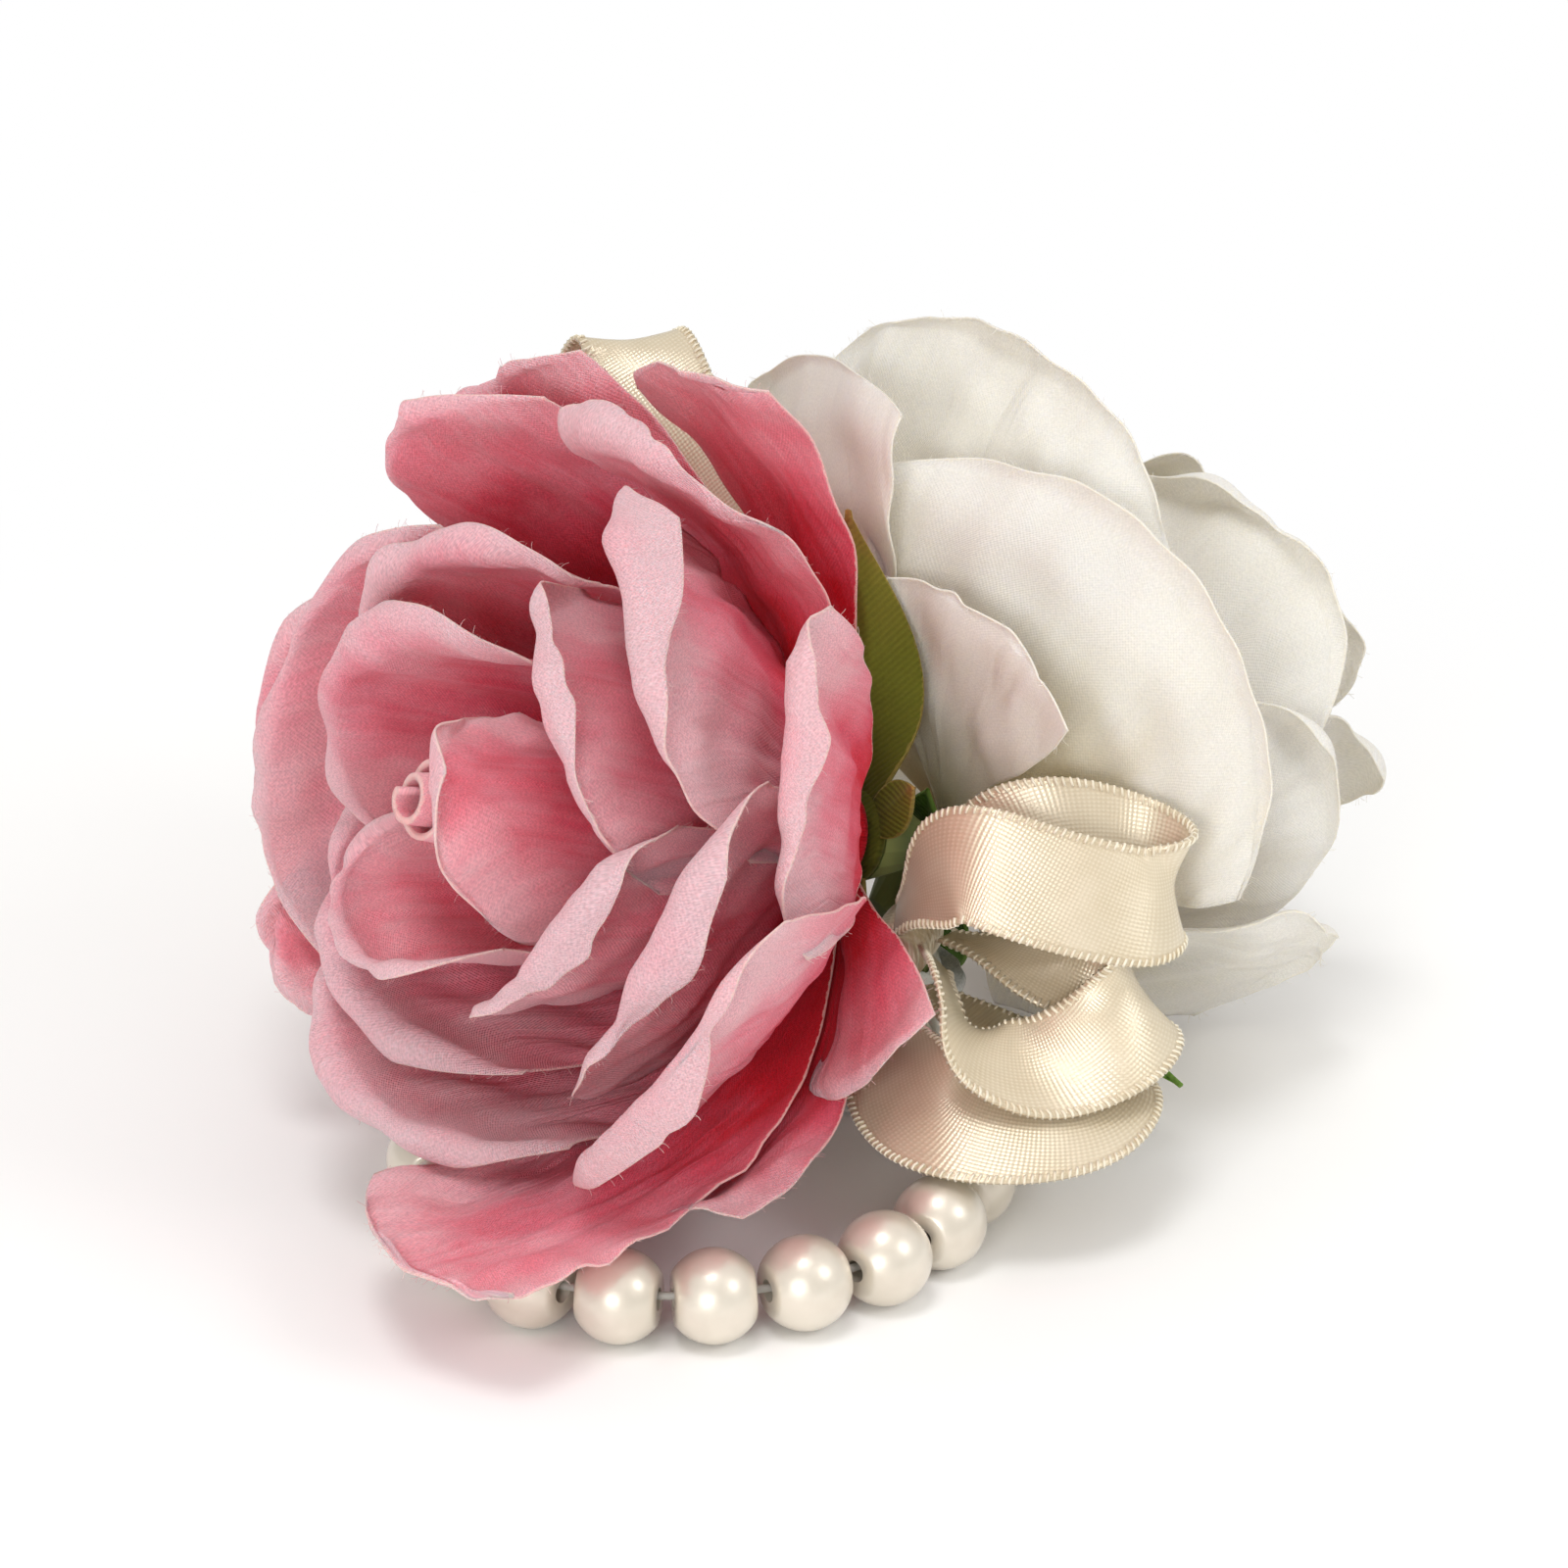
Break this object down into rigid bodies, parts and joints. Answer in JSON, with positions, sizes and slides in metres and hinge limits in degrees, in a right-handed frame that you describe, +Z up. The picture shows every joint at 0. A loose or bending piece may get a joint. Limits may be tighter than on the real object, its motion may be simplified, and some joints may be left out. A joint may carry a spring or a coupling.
{
  "type": "flower bracelet",
  "caption": "Wrist corsage: an elastic strand of imitation pearls that carries large fabric roses with green sepals and a satin ribbon bow on a felt pad.",
  "frame": {"origin": "in the pearl loop, on the plane the strand lies on", "axes": "+Z up, along the axis of the wrist hole; +X to the right of the picture, +Y away from the viewer"},
  "size_m": [0.1262, 0.1299, 0.0896],
  "materials": {
    "pearl": "pearlescent coat",
    "elastic": "satin",
    "felt": "felted",
    "glue": "hardened hot glue",
    "pink_cloth": "dyed cloth, lighter towards the rim",
    "white_cloth": "warm white cloth",
    "leaf_cloth": "olive twill",
    "stem": "moulded",
    "satin": "satin with woven picot edges"
  },
  "bodies": {
    "flowers": {"pearl_08": "pearl", "pearl_09": "pearl", "elastic_knot": "elastic", "lower_felt": "felt", "upper_felt": "felt", "glue_bed": "glue", "pink_rose_receptacle": "stem", "pink_rose_sepals": "leaf_cloth", "pink_rose_petals_1": "pink_cloth", "pink_rose_petals_2": "pink_cloth", "pink_rose_petals_3": "pink_cloth", "pink_rose_petals_4": "pink_cloth", "pink_rose_petals_5": "pink_cloth", "pink_rose_bud": "pink_cloth", "white_rose_receptacle": "stem", "white_rose_sepals": "leaf_cloth", "white_rose_petals_1": "white_cloth", "white_rose_petals_2": "white_cloth", "white_rose_petals_3": "white_cloth", "white_rose_petals_4": "white_cloth", "white_rose_petals_5": "white_cloth", "white_rose_bud": "white_cloth", "pink_stem": "stem", "white_stem": "stem", "glue_mound": "glue", "bow_binding": "satin", "ribbon_upper_loop": "satin", "ribbon_middle_loop": "satin", "ribbon_lower_loop": "satin", "ribbon_rear_left_loop": "satin"},
    "bracelet_loop": {"elastic_cord": "elastic"},
    "pearl_01": {"pearl_01": "pearl"},
    "pearl_02": {"pearl_02": "pearl"},
    "pearl_03": {"pearl_03": "pearl"},
    "pearl_04": {"pearl_04": "pearl"},
    "pearl_05": {"pearl_05": "pearl"},
    "pearl_06": {"pearl_06": "pearl"},
    "pearl_07": {"pearl_07": "pearl"},
    "pearl_10": {"pearl_10": "pearl"},
    "pearl_11": {"pearl_11": "pearl"},
    "pearl_12": {"pearl_12": "pearl"},
    "pearl_13": {"pearl_13": "pearl"},
    "pearl_14": {"pearl_14": "pearl"},
    "pearl_15": {"pearl_15": "pearl"},
    "pearl_16": {"pearl_16": "pearl"},
    "pearl_17": {"pearl_17": "pearl"},
    "pearl_18": {"pearl_18": "pearl"},
    "pearl_19": {"pearl_19": "pearl"},
    "pearl_20": {"pearl_20": "pearl"}
  },
  "joints": [
    {"name": "loop_swing", "type": "hinge", "parent": "flowers", "child": "bracelet_loop", "pos_m": [0.02163, 0.02328, 0.0068], "axis": [0.7239, -0.6899, 0], "range_deg": [0, 90]},
    {"name": "stretch_01", "type": "slide", "parent": "bracelet_loop", "child": "pearl_01", "axis": [-0.2936, -0.9559, 0], "range_m": [0, 0.00874]},
    {"name": "stretch_02", "type": "slide", "parent": "bracelet_loop", "child": "pearl_02", "axis": [-0.1421, -0.9899, 0], "range_m": [0, 0.00806]},
    {"name": "stretch_03", "type": "slide", "parent": "bracelet_loop", "child": "pearl_03", "axis": [0.0163, -0.9999, 0], "range_m": [0, 0.00723]},
    {"name": "stretch_04", "type": "slide", "parent": "bracelet_loop", "child": "pearl_04", "axis": [0.1687, -0.9857, 0], "range_m": [0, 0.00619]},
    {"name": "stretch_05", "type": "slide", "parent": "bracelet_loop", "child": "pearl_05", "axis": [0.3177, -0.9482, 0], "range_m": [0, 0.005]},
    {"name": "stretch_06", "type": "slide", "parent": "bracelet_loop", "child": "pearl_06", "axis": [0.4486, -0.8937, 0], "range_m": [0, 0.00367]},
    {"name": "stretch_07", "type": "slide", "parent": "bracelet_loop", "child": "pearl_07", "axis": [0.5745, -0.8185, 0], "range_m": [0, 0.00227]},
    {"name": "stretch_10", "type": "slide", "parent": "bracelet_loop", "child": "pearl_10", "axis": [-0.8456, 0.5339, 0], "range_m": [0, 0.00228]},
    {"name": "stretch_11", "type": "slide", "parent": "bracelet_loop", "child": "pearl_11", "axis": [-0.9119, 0.4105, 0], "range_m": [0, 0.00368]},
    {"name": "stretch_12", "type": "slide", "parent": "bracelet_loop", "child": "pearl_12", "axis": [-0.9699, 0.2433, 0], "range_m": [0, 0.00493]},
    {"name": "stretch_13", "type": "slide", "parent": "bracelet_loop", "child": "pearl_13", "axis": [-0.9976, 0.0688, 0], "range_m": [0, 0.00603]},
    {"name": "stretch_14", "type": "slide", "parent": "bracelet_loop", "child": "pearl_14", "axis": [-0.992, -0.1266, 0], "range_m": [0, 0.00679]},
    {"name": "stretch_15", "type": "slide", "parent": "bracelet_loop", "child": "pearl_15", "axis": [-0.951, -0.3091, 0], "range_m": [0, 0.00743]},
    {"name": "stretch_16", "type": "slide", "parent": "bracelet_loop", "child": "pearl_16", "axis": [-0.8822, -0.4709, 0], "range_m": [0, 0.00801]},
    {"name": "stretch_17", "type": "slide", "parent": "bracelet_loop", "child": "pearl_17", "axis": [-0.7923, -0.6102, 0], "range_m": [0, 0.00855]},
    {"name": "stretch_18", "type": "slide", "parent": "bracelet_loop", "child": "pearl_18", "axis": [-0.6883, -0.7254, 0], "range_m": [0, 0.00909]},
    {"name": "stretch_19", "type": "slide", "parent": "bracelet_loop", "child": "pearl_19", "axis": [-0.5701, -0.8216, 0], "range_m": [0, 0.00937], "stiffness_N_per_m": 150, "deforming": ["elastic_cord"]},
    {"name": "stretch_20", "type": "slide", "parent": "bracelet_loop", "child": "pearl_20", "axis": [-0.4369, -0.8995, 0], "range_m": [0, 0.00924]}
  ],
  "couplings": [
    {"joint": "stretch_01", "follows": "stretch_19", "ratio": 0.92242},
    {"joint": "stretch_02", "follows": "stretch_19", "ratio": 0.85003},
    {"joint": "stretch_03", "follows": "stretch_19", "ratio": 0.76169},
    {"joint": "stretch_04", "follows": "stretch_19", "ratio": 0.64997},
    {"joint": "stretch_05", "follows": "stretch_19", "ratio": 0.52312},
    {"joint": "stretch_06", "follows": "stretch_19", "ratio": 0.38137},
    {"joint": "stretch_07", "follows": "stretch_19", "ratio": 0.23217},
    {"joint": "stretch_10", "follows": "stretch_19", "ratio": 0.2324},
    {"joint": "stretch_11", "follows": "stretch_19", "ratio": 0.38172},
    {"joint": "stretch_12", "follows": "stretch_19", "ratio": 0.51543},
    {"joint": "stretch_13", "follows": "stretch_19", "ratio": 0.63281},
    {"joint": "stretch_14", "follows": "stretch_19", "ratio": 0.7145},
    {"joint": "stretch_15", "follows": "stretch_19", "ratio": 0.7827},
    {"joint": "stretch_16", "follows": "stretch_19", "ratio": 0.84408},
    {"joint": "stretch_17", "follows": "stretch_19", "ratio": 0.90178},
    {"joint": "stretch_18", "follows": "stretch_19", "ratio": 0.96007},
    {"joint": "stretch_20", "follows": "stretch_19", "ratio": 0.97545}
  ]
}
